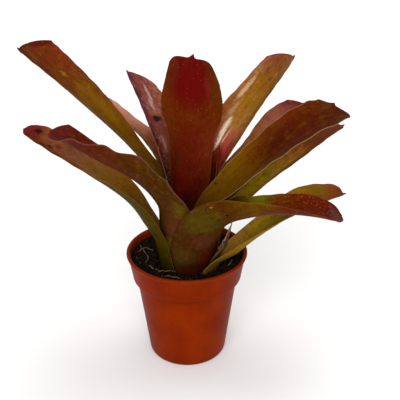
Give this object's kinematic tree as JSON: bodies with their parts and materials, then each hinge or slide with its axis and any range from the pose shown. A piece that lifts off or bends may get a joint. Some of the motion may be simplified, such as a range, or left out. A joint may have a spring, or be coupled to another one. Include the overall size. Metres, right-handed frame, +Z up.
{
  "type": "neoregelia bromeliad in nursery pot",
  "caption": "Young neoregelia bromeliad: a rosette of channelled red and olive strap leaves in a small terracotta-coloured plastic nursery pot.",
  "frame": {"origin": "centre of the pot's underside, on the surface that it stands on", "axes": "+Z up along the pot's axis; -Y towards the front, where the front sheath and the open middle of the rosette show"},
  "size_m": [0.1521, 0.081, 0.1568],
  "materials": {
    "terracotta_plastic": "satin moulded plastic",
    "potting_soil": "matt crumbly peat",
    "stem": "matt fibrous",
    "leaf_olive": "glossy leaf",
    "leaf_red": "glossy leaf",
    "leaf_rose": "glossy leaf",
    "dry_leaf": "dry and papery"
  },
  "bodies": {
    "root": {"pot": "terracotta_plastic", "potting_soil": "potting_soil", "stem": "stem", "dry_sheath": "dry_leaf", "leaf_low_right": "leaf_olive", "leaf_low_left": "leaf_olive", "leaf_lower_right": "leaf_olive", "leaf_front_right": "leaf_red", "leaf_front_left": "leaf_red", "leaf_back_right_short": "leaf_rose", "leaf_back_left_low": "leaf_rose", "leaf_upper_left": "leaf_olive", "leaf_back_right_tall": "leaf_rose", "leaf_back_left": "leaf_rose", "leaf_young_inner": "leaf_red", "leaf_back_centre": "leaf_red", "leaf_upper_right": "leaf_red"}
  },
  "joints": []
}
